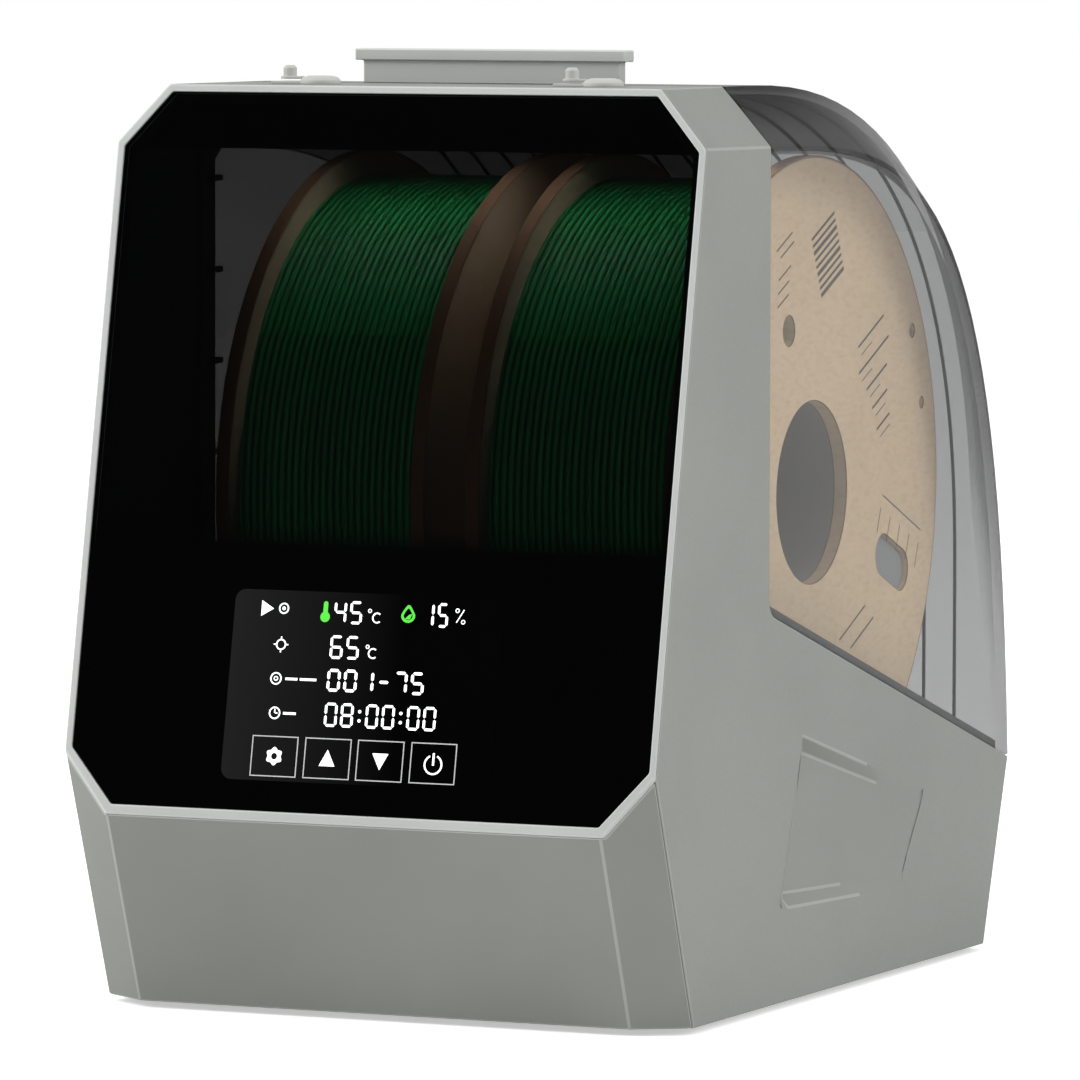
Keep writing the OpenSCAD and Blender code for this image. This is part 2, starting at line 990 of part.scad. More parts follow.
module filament(side) {
    ends = spool_span(side, flange_t, spool_w - flange_t);
    color([0.05, 0.17, 0.1])
        placed()
            difference() {
                bar_x(ends[0], ends[1], spool_y, spool_z, filament_r);
                bar_x(ends[0] - 1, ends[1] + 1, spool_y, spool_z, core_r);
            }
}

module spool_flanges_left() {
    spool_flanges(-1);
}

module spool_flanges_right() {
    spool_flanges(1);
}

module spool_core_left() {
    spool_core(-1);
}

module spool_core_right() {
    spool_core(1);
}

module filament_left() {
    filament(-1);
}

module filament_right() {
    filament(1);
}

// ---------- blower and heater ----------

module blower_housing() {
    outlet_y1 = duct_y[0];
    color([0.1, 0.1, 0.1])
        placed()
            difference() {
                union() {
                    translate([0, fan_y, fan_z])
                        cylinder(h = fan_h - 2, r = fan_r, $fn = 96);
                    block([duct_x[0], fan_y, fan_z], [duct_x[1], outlet_y1, fan_z + fan_h - 2]);
                }
                translate([0, fan_y, fan_z + 2])
                    cylinder(h = fan_h, r = fan_r - 2, $fn = 96);
                block([duct_x[0] + 2, fan_y, fan_z + 2], [duct_x[1] - 2, outlet_y1 + 1, fan_z + fan_h]);
            }
}

module blower_cover() {
    z = fan_z + fan_h - 2;
    color([0.13, 0.13, 0.13])
        placed()
            difference() {
                union() {
                    translate([0, fan_y, z])
                        cylinder(h = 2, r = fan_r, $fn = 96);
                    block([duct_x[0], fan_y, z], [duct_x[1], duct_y[0], z + 2]);
                }
                translate([0, fan_y, z - 1])
                    cylinder(h = 4, r = 21, $fn = 96);
            }
}

module blower_motor() {
    color([0.3, 0.3, 0.32])
        placed()
            translate([0, fan_y, fan_z + 2]) {
                cylinder(h = 7, r = 11, $fn = 48);
                cylinder(h = 16, r = 1.5, $fn = 32);
            }
}

module blower_wheel() {
    blades = 24;
    low = fan_z + 10;
    color([0.2, 0.2, 0.22])
        placed()
            translate([0, fan_y, low])
                difference() {
                    union() {
                        cylinder(h = 1.6, r = fan_wheel_r, $fn = 96);
                        cylinder(h = 8, r = 7, $fn = 48);
                        for (i = [0 : blades - 1])
                            rotate([0, 0, i * 360 / blades])
                                translate([fan_wheel_r - 5, -0.5, 1])
                                    cube([4.4, 1, 11]);
                        translate([0, 0, 11])
                            difference() {
                                cylinder(h = 1.4, r = fan_wheel_r, $fn = 96);
                                translate([0, 0, -1])
                                    cylinder(h = 4, r = fan_wheel_r - 5.4, $fn = 96);
                            }
                    }
                    translate([0, 0, -1])
                        cylinder(h = 12, r = 1.5 + running, $fn = 32);
                }
}

module heater_core() {
    low = [duct_x[0] + 2, heater_y[0], fan_z + 2];
    high = [duct_x[1] - 2, heater_y[1], deck_z - 4];
    fins = 7;
    pitch = (high[0] - low[0] - 1) / (fins - 1);
    color([0.75, 0.75, 0.77])
        placed() {
            for (i = [0 : fins - 1])
                block([low[0] + i * pitch, low[1], low[2]], [low[0] + i * pitch + 1, high[1], high[2]]);
            for (z = [low[2], (low[2] + high[2]) / 2 - 1, high[2] - 2])
                block([low[0], low[1], z], [high[0], high[1], z + 2]);
        }
}

module heater_duct() {
    color([0.16, 0.16, 0.16])
        placed()
            difference() {
                block([duct_x[0], duct_y[0] + 0.3, fan_z], [duct_x[1], duct_y[1], deck_z]);
                block([duct_x[0] + 2, duct_y[0] - 1, fan_z + 2], [duct_x[1] - 2, duct_y[1] - 2, deck_z - 4]);
                block([duct_x[0] + 2, 238, fan_z + 2], [duct_x[1] - 2, duct_y[1] - 2, deck_z + 1]);
            }
}

// ---------- power supply ----------

module supply_board() {
    color([0.1, 0.3, 0.18])
        placed() {
            block([-68, 124, 8], [-8, 236, 9.6]);
            for (x = [-64, -12], y = [128, 232])
                translate([x, y, wall])
                    cylinder(h = 8 - wall, r = 2.5, $fn = 24);
        }
}

module supply_parts() {
    color([0.5, 0.45, 0.15])
        placed() {
            block([-46, 160, 9.6], [-18, 186, 29]);
            block([-62, 150, 9.6], [-58, 190, 30]);
            for (y = [206, 224])
                translate([-24, y, 9.6])
                    cylinder(h = 22, r = 7.5, $fn = 32);
            block([-56, 205, 9.6], [-40, 225, 24]);
            block([-60, 128, 9.6], [-40, 140, 20]);
        }
}

module ribbon_cable() {
    t = 1.2;
    color([0.4, 0.4, 0.42])
        placed()
            across(-48, -36)
                polygon([
                    [16.5, 64], [16.5 + t, 64], [16.5 + t, 36], [36, 13 + t], [128, 13 + t],
                    [128, 13], [35, 13], [16.5, 35],
                ]);
}

module inlet_socket() {
    color([0.08, 0.08, 0.08])
        placed()
            difference() {
                block([inlet_x - 14, inlet_y - 22, inlet_z - 10], [inlet_x + 14, inlet_y + 2, inlet_z + 10]);
                block([inlet_x - 12, inlet_y - 14, inlet_z - 8], [inlet_x + 12, inlet_y + 3, inlet_z + 8]);
            }
}

module inlet_pins() {
    pins = [[-7, 2], [7, 2], [0, -3]];
    color([0.78, 0.7, 0.45])
        placed()
            for (p = pins)
                block(
                    [inlet_x + p[0] - 1, inlet_y - 25, inlet_z + p[1] - 2],
                    [inlet_x + p[0] + 1, inlet_y - 3, inlet_z + p[1] + 2]
                );
}

main_housing();
chin_cover();
front_bezel();
front_glass();
display_module();
touch_board();
control_board();
inner_liner();
seal_frame();
lid_gasket();
bulkhead();
sensor_board();
chamber_deck();
deck_grille();
base_plate();
rubber_feet();
base_screws();
rear_panel();
inlet_socket();
inlet_pins();
lid_strip();
lid_side_left();
lid_side_right();
lid_handle();
handle_screws();
lid_hinge_leaves();
base_hinge_leaves();
hinge_pins();
outlet_grommet_left();
outlet_grommet_right();
outlet_plug_left();
outlet_plug_right();
roller_cradle();
front_axle();
rear_axle();
roller_front_left();
roller_front_right();
roller_rear_left();
roller_rear_right();
bushes_front_left();
bushes_front_right();
bushes_rear_left();
bushes_rear_right();
blower_housing();
blower_cover();
blower_motor();
blower_wheel();
heater_core();
heater_duct();
supply_board();
supply_parts();
ribbon_cable();
spool_flanges_left();
spool_flanges_right();
spool_core_left();
spool_core_right();
filament_left();
filament_right();
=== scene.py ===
import json
import math

import bmesh
import bpy
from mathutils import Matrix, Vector

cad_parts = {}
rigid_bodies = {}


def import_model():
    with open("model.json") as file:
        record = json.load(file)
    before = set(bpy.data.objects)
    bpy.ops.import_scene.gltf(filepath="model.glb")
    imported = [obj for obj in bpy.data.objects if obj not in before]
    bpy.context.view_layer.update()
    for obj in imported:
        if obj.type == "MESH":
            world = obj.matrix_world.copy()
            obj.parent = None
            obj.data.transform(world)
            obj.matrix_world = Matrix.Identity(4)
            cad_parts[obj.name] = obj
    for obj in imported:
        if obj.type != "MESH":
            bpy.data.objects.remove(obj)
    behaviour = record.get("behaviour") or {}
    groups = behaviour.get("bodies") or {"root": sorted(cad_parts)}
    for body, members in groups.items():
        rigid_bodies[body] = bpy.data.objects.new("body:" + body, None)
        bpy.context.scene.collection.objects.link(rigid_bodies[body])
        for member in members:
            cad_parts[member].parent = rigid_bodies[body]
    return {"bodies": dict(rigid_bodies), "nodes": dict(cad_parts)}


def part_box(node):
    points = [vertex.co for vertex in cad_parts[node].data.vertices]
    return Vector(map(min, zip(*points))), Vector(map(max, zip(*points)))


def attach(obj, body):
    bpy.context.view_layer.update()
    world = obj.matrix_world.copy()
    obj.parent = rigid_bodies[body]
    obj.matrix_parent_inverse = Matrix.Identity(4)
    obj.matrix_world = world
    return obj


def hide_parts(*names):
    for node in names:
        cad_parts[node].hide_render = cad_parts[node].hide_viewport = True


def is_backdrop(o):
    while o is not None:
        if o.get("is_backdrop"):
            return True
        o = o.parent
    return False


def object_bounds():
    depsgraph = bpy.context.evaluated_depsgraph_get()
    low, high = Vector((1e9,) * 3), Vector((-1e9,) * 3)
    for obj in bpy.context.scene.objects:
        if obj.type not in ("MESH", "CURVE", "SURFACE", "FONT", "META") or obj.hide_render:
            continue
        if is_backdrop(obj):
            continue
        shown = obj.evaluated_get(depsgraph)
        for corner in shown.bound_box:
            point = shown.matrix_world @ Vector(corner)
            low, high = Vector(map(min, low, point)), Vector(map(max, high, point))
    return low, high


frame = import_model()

MM = 0.001
nodes = frame["nodes"]
kept = {*nodes.values(), *frame["bodies"].values()}
for thing in list(bpy.data.objects):
    if thing not in kept:
        bpy.data.objects.remove(thing)
cad_low, cad_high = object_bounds()

# The window leans back by TILT, and the drawing's zero is under the fold below it
TILT = math.radians(11.1)
BACK = -cad_low.y / MM
FOOT = 2.0
FOLD = 56.4
SPOOL_Y, SPOOL_Z = 162.8, 143.9
# The lid's middle curve: its centre in y and z, its two radii and its power
MID_CURVE = (103.5, 108.7, 184.5, 156.8, 2.44)


def at(x, y, z):
    """A point given in the drawing's millimetres."""
    return Vector((x, y - BACK, z + FOOT)) * MM


def on_window(x, s, n):
    """A point at x across the window, s up its slope from the fold and n out of it."""
    return at(
        x,
        s * math.sin(TILT) - n * math.cos(TILT),
        FOLD + s * math.cos(TILT) + n * math.sin(TILT),
    )


def bow(curve, low_z, inset=0.0, steps=40):
    """Points of one of the lid's rear curves, from its top down to low_z."""
    ry, rz, power = curve[2] - inset, curve[3] - inset, 2 / curve[4]
    last = math.asin((max(0.0, low_z - curve[1]) / rz) ** (1 / power))
    made = []
    for i in range(steps + 1):
        t = math.pi / 2 - (math.pi / 2 - last) * i / steps
        made.append((
            curve[0] + ry * max(0.0, math.cos(t)) ** power,
            curve[1] + rz * math.sin(t) ** power,
        ))
    return made


# ---------- materials ----------


def noise(tree, coords, scale, detail=2.0, stretch=None):
    made = tree.nodes.new("ShaderNodeTexNoise")
    made.inputs["Scale"].default_value = scale
    made.inputs["Detail"].default_value = detail
    source = coords.outputs["Object"]
    if stretch:
        mapping = tree.nodes.new("ShaderNodeMapping")
        mapping.inputs["Scale"].default_value = stretch
        tree.links.new(source, mapping.inputs["Vector"])
        source = mapping.outputs["Vector"]
    tree.links.new(source, made.inputs["Vector"])
    return made.outputs["Fac"]


def spread(tree, fac, low, high, start=0.3, end=0.7):
    """Maps a 0 to 1 value onto a range."""
    made = tree.nodes.new("ShaderNodeMapRange")
    made.inputs["From Min"].default_value = start
    made.inputs["From Max"].default_value = end
    made.inputs["To Min"].default_value = low
    made.inputs["To Max"].default_value = high
    tree.links.new(fac, made.inputs["Value"])
    return made.outputs["Result"]


def blend_colours(tree, fac, one, other):
    made = tree.nodes.new("ShaderNodeMix")
    made.data_type = "RGBA"
    for socket, colour in ((made.inputs["A"], one), (made.inputs["B"], other)):
        if isinstance(colour, bpy.types.NodeSocket):
            tree.links.new(colour, socket)
        else:
            socket.default_value = (*colour, 1.0)
    tree.links.new(fac, made.inputs["Factor"])
    return made.outputs["Result"]


def finish_of(
    name, colour, rough, drift=0.06, grain=1500.0, depth=0.05, spec=0.5, metal=0.0, stretch=None
):
    """A material with slow drift of colour, uneven roughness and a fine grain in its height.
    Returns the material, its tree, its shader, its coordinates and its colour's output."""
    mat = bpy.data.materials.new(name)
    mat.use_nodes = True
    tree = mat.node_tree
    shader = tree.nodes["Principled BSDF"]
    shader.inputs["Specular IOR Level"].default_value = spec
    shader.inputs["Metallic"].default_value = metal
    coords = tree.nodes.new("ShaderNodeTexCoord")
    slow = noise(tree, coords, 14.0, 3.0)
    fine = noise(tree, coords, grain, 2.0, stretch)
    dark = tuple(c * (1 - drift) for c in colour)
    light = tuple(min(1.0, c * (1 + drift)) for c in colour)
    tint = blend_colours(tree, spread(tree, slow, 0.0, 1.0), dark, light)
    tree.links.new(tint, shader.inputs["Base Color"])
    tree.links.new(spread(tree, fine, rough * 0.88, min(1.0, rough * 1.12)), shader.inputs["Roughness"])
    bump = tree.nodes.new("ShaderNodeBump")
    bump.inputs["Strength"].default_value = depth
    bump.inputs["Distance"].default_value = 0.0003
    tree.links.new(fine, bump.inputs["Height"])
    tree.links.new(bump.outputs["Normal"], shader.inputs["Normal"])
    return mat, tree, shader, coords, tint


def plain(*args, **kwargs):
    return finish_of(*args, **kwargs)[0]


def see_through(name, colour, rough, alpha, spec=0.3):
    """Clear or smoked plastic, whose see-through share is the same all over."""
    mat, tree, shader, coords, tint = finish_of(name, colour, rough, depth=0.01, grain=300.0, spec=spec)
    shader.inputs["Alpha"].default_value = alpha
    return mat


def smoke_plastic():
    """The lid's dark strip, which darkens where it is seen along its surface."""
    mat, tree, shader, coords, tint = finish_of(
        "smoke_plastic", (0.01, 0.01, 0.011), 0.2, depth=0.0, grain=300.0, spec=0.05
    )
    facing = tree.nodes.new("ShaderNodeLayerWeight")
    facing.inputs["Blend"].default_value = 0.5
    seen_along = spread(tree, facing.outputs["Facing"], 0.5, 0.985, 0.68, 0.92)
    tree.links.new(seen_along, shader.inputs["Alpha"])
    return mat


def smoked_glass():
    """The front window: black behind the display, and smoked above a soft edge."""
    mat, tree, shader, coords, tint = finish_of(
        "window_glass", (0.0008, 0.0008, 0.0009), 0.06, depth=0.0, spec=0.01
    )
    parts = tree.nodes.new("ShaderNodeSeparateXYZ")
    tree.links.new(coords.outputs["Object"], parts.inputs["Vector"])
    fade = tree.nodes.new("ShaderNodeMapRange")
    fade.interpolation_type = "SMOOTHSTEP"
    fade.inputs["From Min"].default_value = at(0, 0, 129).z
    fade.inputs["From Max"].default_value = at(0, 0, 141).z
    fade.inputs["To Min"].default_value = 1.0
    fade.inputs["To Max"].default_value = 0.845
    tree.links.new(parts.outputs["Z"], fade.inputs["Value"])
    tree.links.new(fade.outputs["Result"], shader.inputs["Alpha"])
    return mat


def lit(name, colour, strength):
    """A lit mark of the display."""
    mat, tree, shader, coords, tint = finish_of(name, colour, 0.4, drift=0.03, depth=0.0)
    tree.links.new(tint, shader.inputs["Emission Color"])
    shader.inputs["Emission Strength"].default_value = strength
    return mat


def display_black():
    """The display's face, a little greyer towards its left."""
    mat, tree, shader, coords, tint = finish_of(
        "display_black", (0.014, 0.014, 0.0145), 0.35, depth=0.0, spec=0.01
    )
    parts = tree.nodes.new("ShaderNodeSeparateXYZ")
    tree.links.new(coords.outputs["Object"], parts.inputs["Vector"])
    across = spread(tree, parts.outputs["X"], 1.0, 0.0, -45 * MM, 12 * MM)
    shade = blend_colours(tree, across, (0.0006, 0.0006, 0.0007), tint)
    tree.links.new(shade, shader.inputs["Base Color"])
    return mat


def wound_plastic():
    """Wound filament, with narrow bands of darker green at random across its width."""
    mat, tree, shader, coords, tint = finish_of(
        "filament_green", (0.013, 0.25, 0.065), 0.32, drift=0.15, grain=500.0
    )
    turns = noise(tree, coords, 60.0, 2.0, (12.0, 0.3, 0.3))
    shade = blend_colours(tree, spread(tree, turns, 0.0, 0.45), tint, (0.005, 0.09, 0.024))
    tree.links.new(shade, shader.inputs["Base Color"])
    return mat


def kraft_card():
    """Pressed card with short fibres, darker round its outer edge: partly the card's own cut edge and partly
    painted shade, where little light reaches between the spools.
    """
    mat, tree, shader, coords, tint = finish_of(
        "spool_card", (0.52, 0.40, 0.27), 0.85, drift=0.05, grain=900.0, depth=0.12, spec=0.2
    )
    fibres = noise(tree, coords, 260.0, 4.0, (1.0, 1.0, 3.0))
    flecked = blend_colours(tree, spread(tree, fibres, 0.0, 0.35, 0.45, 0.75), tint, (0.33, 0.25, 0.16))
    centre = tree.nodes.new("ShaderNodeVectorMath")
    centre.operation = "SUBTRACT"
    centre.inputs[1].default_value = at(0, SPOOL_Y, SPOOL_Z)
    tree.links.new(coords.outputs["Object"], centre.inputs[0])
    across = tree.nodes.new("ShaderNodeVectorMath")
    across.operation = "MULTIPLY"
    across.inputs[1].default_value = (0.0, 1.0, 1.0)
    tree.links.new(centre.outputs["Vector"], across.inputs[0])
    length = tree.nodes.new("ShaderNodeVectorMath")
    length.operation = "LENGTH"
    tree.links.new(across.outputs["Vector"], length.inputs[0])
    # Painted shade, partly the card's own cut edge: a dark brown band at the flange's outer rim.
    rim = spread(tree, length.outputs["Value"], 0.0, 1.0, 99.0 * MM, 99.6 * MM)
    rim_cut_and_shaded = blend_colours(tree, rim, flecked, (0.15, 0.085, 0.045))
    tree.links.new(rim_cut_and_shaded, shader.inputs["Base Color"])
    return mat


MATERIALS = {
    "shell_grey": plain("shell_grey", (0.23, 0.24, 0.222), 0.5, spec=0.35),
    "chin_grey": plain("chin_grey", (0.235, 0.244, 0.222), 0.5, spec=0.35),
    "bezel_light": plain("bezel_light", (0.45, 0.465, 0.45), 0.35, spec=0.4),
    "window_glass": smoked_glass(),
    "display_black": display_black(),
    "board_green": plain("board_green", (0.02, 0.12, 0.05), 0.45),
    "board_blue": plain("board_blue", (0.02, 0.08, 0.25), 0.45),
    "liner_black": plain("liner_black", (0.008, 0.008, 0.008), 0.6, spec=0.2),
    "gasket_rubber": plain("gasket_rubber", (0.03, 0.03, 0.03), 0.8),
    "base_grey": plain("base_grey", (0.035, 0.035, 0.036), 0.55, depth=0.12),
    "foot_rubber": plain("foot_rubber", (0.02, 0.02, 0.02), 0.85, depth=0.15),
    "screw_steel": plain("screw_steel", (0.45, 0.45, 0.46), 0.35, metal=1.0),
    "socket_black": plain("socket_black", (0.012, 0.012, 0.012), 0.45),
    "pin_brass": plain("pin_brass", (0.75, 0.62, 0.33), 0.3, metal=1.0),
    "smoke_plastic": smoke_plastic(),
    "clear_plastic": see_through("clear_plastic", (0.4, 0.41, 0.42), 0.2, 0.1, 0.3),
    "handle_grey": plain("handle_grey", (0.5, 0.515, 0.49), 0.45, spec=0.4),
    "axle_steel": plain("axle_steel", (0.6, 0.6, 0.61), 0.25, metal=1.0, stretch=(40.0, 1.0, 1.0)),
    "outlet_silicone": plain("outlet_silicone", (0.5, 0.5, 0.48), 0.55, spec=0.3),
    "roller_rubber": plain("roller_rubber", (0.03, 0.03, 0.03), 0.75),
    "bush_bronze": plain("bush_bronze", (0.55, 0.36, 0.17), 0.4, metal=1.0),
    "blower_black": plain("blower_black", (0.02, 0.02, 0.02), 0.5),
    "motor_metal": plain("motor_metal", (0.3, 0.3, 0.31), 0.4, metal=1.0),
    "heater_aluminium": plain(
        "heater_aluminium", (0.7, 0.7, 0.71), 0.35, metal=1.0, stretch=(1.0, 20.0, 1.0)
    ),
    "part_yellow": plain("part_yellow", (0.5, 0.38, 0.06), 0.5),
    "cable_grey": plain("cable_grey", (0.25, 0.25, 0.26), 0.6),
    "spool_card": kraft_card(),
    "filament_green": wound_plastic(),
}
# Edge strips: lighter colours paint a highlight along the rounded edges of the grey shells, the bezel and
# the handle; the spool card's darker strip is partly its own cut edge and partly painted shade.
EDGE_LIGHT_AND_SHADE = {
    "shell_grey": plain("shell_edge", (0.3, 0.31, 0.29), 0.4),
    "chin_grey": plain("chin_edge", (0.34, 0.35, 0.33), 0.4),
    "bezel_light": plain("bezel_edge", (0.52, 0.53, 0.52), 0.3),
    "handle_grey": plain("handle_edge", (0.6, 0.61, 0.59), 0.4),
    "spool_card": plain("card_edge", (0.17, 0.1, 0.055), 0.9),
}
rib_black = plain("rib_black", (0.004, 0.004, 0.004), 0.4, spec=0.2)
print_ink = plain("print_ink", (0.09, 0.075, 0.06), 0.8, drift=0.2, spec=0.1)
hub_card = plain("hub_card", (0.22, 0.21, 0.195), 0.85, depth=0.02, spec=0.2)
# Painted shade: a darker green for the faces in the crease between neighbouring turns of filament.
groove_green = plain("groove_green", (0.001, 0.03, 0.008), 0.5, spec=0.1)
slot_grey = plain("slot_grey", (0.2, 0.205, 0.205), 0.7, spec=0.2)
mark_white = lit("mark_white", (0.9, 0.92, 0.93), 0.9)
mark_green = lit("mark_green", (0.06, 0.55, 0.03), 0.5)
line_grey = lit("line_grey", (0.45, 0.46, 0.45), 0.25)


# ---------- pieces ----------


def piece(name, bm, body, mat, stands_for=(), smooth=True):
    """Makes a piece of the object from a bmesh, riding on a body."""
    bmesh.ops.recalc_face_normals(bm, faces=bm.faces)
    mesh = bpy.data.meshes.new(name)
    bm.to_mesh(mesh)
    bm.free()
    mesh.polygons.foreach_set("use_smooth", [smooth] * len(mesh.polygons))
    mesh.materials.append(mat)
    made = bpy.data.objects.new(name, mesh)
    bpy.context.scene.collection.objects.link(made)
    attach(made, body)
    if stands_for:
        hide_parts(*stands_for)
    return made


def soften(thing, width, painted_edge=None, segments=2):
    """Rounds the sharp edges of a piece or a CAD node, and evens its normals.
    The rounded strips may take a colour of their own: a painted highlight along the edge, or on the spool
    card a darker strip that is partly painted shade."""
    weld = thing.modifiers.new("joined", "WELD")
    weld.merge_threshold = 0.01 * MM
    flat = thing.modifiers.new("flat", "DECIMATE")
    flat.decimate_type = "DISSOLVE"
    flat.angle_limit = math.radians(0.4)
    if width:
        edge = thing.modifiers.new("edges", "BEVEL")
        edge.width = width * MM
        edge.segments = segments
        edge.limit_method = "ANGLE"
        edge.angle_limit = math.radians(24)
        edge.use_clamp_overlap = False
        edge.miter_outer = "MITER_ARC"
        # The strips' own colour paints a highlight, or on the card a partly painted shade.
        if painted_edge:
            thing.data.materials.append(painted_edge)
            edge.material = len(thing.data.materials) - 1
    even = thing.modifiers.new("normals", "WEIGHTED_NORMAL")
    even.weight = 80


def loop_of(bm, points):
    return [bm.verts.new(p) for p in points]


def skin(bm, loops, closed=True, caps=True):
    """Joins loops of equal length into a skin, and closes its two ends."""
    count = len(loops[0])
    for one, other in zip(loops, loops[1:]):
        for i in range(count if closed else count - 1):
            j = (i + 1) % count
            bm.faces.new((one[i], one[j], other[j], other[i]))
    if caps:
        bm.faces.new(list(reversed(loops[0])))
        bm.faces.new(loops[-1])


def plate(bm, outline, low, high):
    """A flat plate on the window, from its outline in x and s."""
    skin(bm, [loop_of(bm, [on_window(x, s, n) for x, s in outline]) for n in (low, high)])


def frame_plate(bm, outer, inner, low, high, closed=True):
    """A flat ring or arc on the window, between two lines of equal length."""
    rings = [
        [on_window(x, s, low) for x, s in outer],
        [on_window(x, s, high) for x, s in outer],
        [on_window(x, s, high) for x, s in inner],
        [on_window(x, s, low) for x, s in inner],
    ]
    rings = [loop_of(bm, ring) for ring in rings]
    skin(bm, [*rings, rings[0]], closed=closed, caps=False)
    if not closed:
        bm.faces.new([ring[0] for ring in reversed(rings)])
        bm.faces.new([ring[-1] for ring in rings])


def circle(cx, cs, r, start=0.0, end=360.0, steps=28):
    """Points of a circle, or of an arc with its end point too."""
    whole = end - start >= 360
    count = steps if whole else steps + 1
    angles = [math.radians(start + (end - start) * i / steps) for i in range(count)]
    return [(cx + r * math.cos(a), cs + r * math.sin(a)) for a in angles]


def stroke(start, end, width, pointed=True):
    """Outline of a straight mark, with pointed or square ends."""
    (ax, ay), (bx, by) = start, end
    length = math.hypot(bx - ax, by - ay)
    dx, dy = (bx - ax) / length * width / 2, (by - ay) / length * width / 2
    if not pointed:
        return [(ax + dy, ay - dx), (bx + dy, by - dx), (bx - dy, by + dx), (ax - dy, ay + dx)]
    return [
        (ax, ay), (ax + dx + dy, ay + dy - dx), (bx - dx + dy, by - dy - dx),
        (bx, by), (bx - dx - dy, by - dy + dx), (ax + dx - dy, ay + dy + dx),
    ]


def rounded(x1, s1, x2, s2, r, steps=6):
    corners = ((x2 - r, s2 - r, 0), (x1 + r, s2 - r, 90), (x1 + r, s1 + r, 180), (x2 - r, s1 + r, 270))
    return [p for cx, cs, a in corners for p in circle(cx, cs, r, a, a + 90, steps)]


# ---------- window ----------

WINDOW = {"inner": 77.7, "outer": 93.0, "low": 18.0, "high": 195.9, "top": 213.1}


def window_outline(side, foot):
    inner = WINDOW["inner"] - side * 0.45
    outer = WINDOW["outer"] - side
    low, high = WINDOW["low"] + side * 0.45, WINDOW["high"] - side * 0.45
    top = WINDOW["top"] - side
    half = [(inner, foot), (outer, low), (outer, high), (inner, top)]
    return [*half, *[(-x, s) for x, s in reversed(half)]]


bm = bmesh.new()
skin(bm, [
    loop_of(bm, [on_window(x, s, n) for x, s in window_outline(2.2 + cut, 3.1 + cut)])
    for n, cut in ((-3.3, 0.0), (-0.7, 0.0), (-0.42, 0.12), (-0.3, 0.4))
])
piece(
    "window_pane", bm, "housing", MATERIALS["window_glass"], ["front_glass"], smooth=False
)

# Digits of seven segments: the corners that each segment runs between, and the segments of each digit
SEGMENTS = {
    "a": ((0, 2), (1, 2)), "b": ((1, 2), (1, 1)), "c": ((1, 1), (1, 0)), "d": ((0, 0), (1, 0)),
    "e": ((0, 1), (0, 0)), "f": ((0, 2), (0, 1)), "g": ((0, 1), (1, 1)),
}
DIGITS = {
    "0": "abcdef", "1": "bc", "2": "abged", "3": "abgcd", "4": "fgbc", "5": "afgcd",
    "6": "afgedc", "7": "abc", "8": "abcdefg", "9": "abcdfg", "-": "g",
}
MARK_LOW, MARK_HIGH = -0.34, -0.14


def digit(bm, sign, x, s, width, height, line):
    for key in DIGITS[sign]:
        ends = []
        for (u, v), (u2, v2) in (SEGMENTS[key], SEGMENTS[key][::-1]):
            du, dv = u2 - u, v2 - v
            gap = line * 0.22
            ends.append((
                x + line / 2 + u * (width - line) + du * gap,
                s + line / 2 + v * (height - line) / 2 + dv * gap,
            ))
        plate(bm, stroke(*ends, line), MARK_LOW, MARK_HIGH)


def number(bm, text, x1, x2, s1, s2, line=0.75):
    """Digits across a width; a colon takes half a digit's room."""
    shares = [0.55 if sign == ":" else 1.0 for sign in text]
    step = (x2 - x1 + 1.1) / sum(shares)
    x = x1
    for sign, share in zip(text, shares):
        if sign == ":":
            for s in (s1 + (s2 - s1) * 0.3, s1 + (s2 - s1) * 0.68):
                plate(bm, circle(x + step * 0.5 * share - 0.55, s, 0.5, steps=10), MARK_LOW, MARK_HIGH)
        else:
            digit(bm, sign, x, s1, step - 1.1, s2 - s1, line)
        x += step * share


def ring(bm, cx, cs, r, line, start=0.0, end=360.0):
    closed = end - start >= 360
    outer, inner = circle(cx, cs, r, start, end), circle(cx, cs, r - line, start, end)
    frame_plate(bm, outer, inner, MARK_LOW, MARK_HIGH, closed)


def degree_sign(bm, x1, x2, s1, s2):
    """A small ring and an open arc, for degrees."""
    ring(bm, x1 + 0.6, s2 - 0.6, 0.6, 0.25)
    ring(bm, x2 - 1.5, (s1 + s2) / 2 - 0.2, 1.55, 0.4, 50, 310)


face = bmesh.new()
plate(face, rounded(-42.4, 11.8, 42.4, 66.6, 3.2), -0.36, -0.24)
piece("display_face", face, "housing", MATERIALS["display_black"], smooth=False)

keys = bmesh.new()
for left, right in ((-33.2, -18.6), (-16.4, -1.8), (0.2, 14.8), (17.0, 31.3)):
    outer = [(left, 13.0), (right, 13.0), (right, 24.7), (left, 24.7)]
    inner = [(left + 0.3, 13.3), (right - 0.3, 13.3), (right - 0.3, 24.4), (left + 0.3, 24.4)]
    frame_plate(keys, outer, inner, MARK_LOW, MARK_HIGH)
piece("key_outlines", keys, "housing", line_grey, smooth=False)

white = bmesh.new()
petals = []
for a in [math.radians(7.5 * i) for i in range(48)]:
    reach = 2.35 + 0.3 * math.cos(6 * a)
    petals.append((-25.9 + reach * math.cos(a + 0.52), 18.9 + reach * math.sin(a + 0.52)))
eye = circle(-25.9, 18.9, 0.95, 30, 390, 48)
frame_plate(white, petals, eye, MARK_LOW, MARK_HIGH)
plate(white, [(-11.6, 16.7), (-6.6, 16.7), (-9.1, 21.4)], MARK_LOW, MARK_HIGH)
plate(white, [(5.0, 21.0), (7.5, 16.3), (10.0, 21.0)], MARK_LOW, MARK_HIGH)
ring(white, 24.2, 18.5, 2.9, 0.5, 115, 425)
plate(white, stroke((24.2, 18.3), (24.2, 21.8), 0.6, False), MARK_LOW, MARK_HIGH)

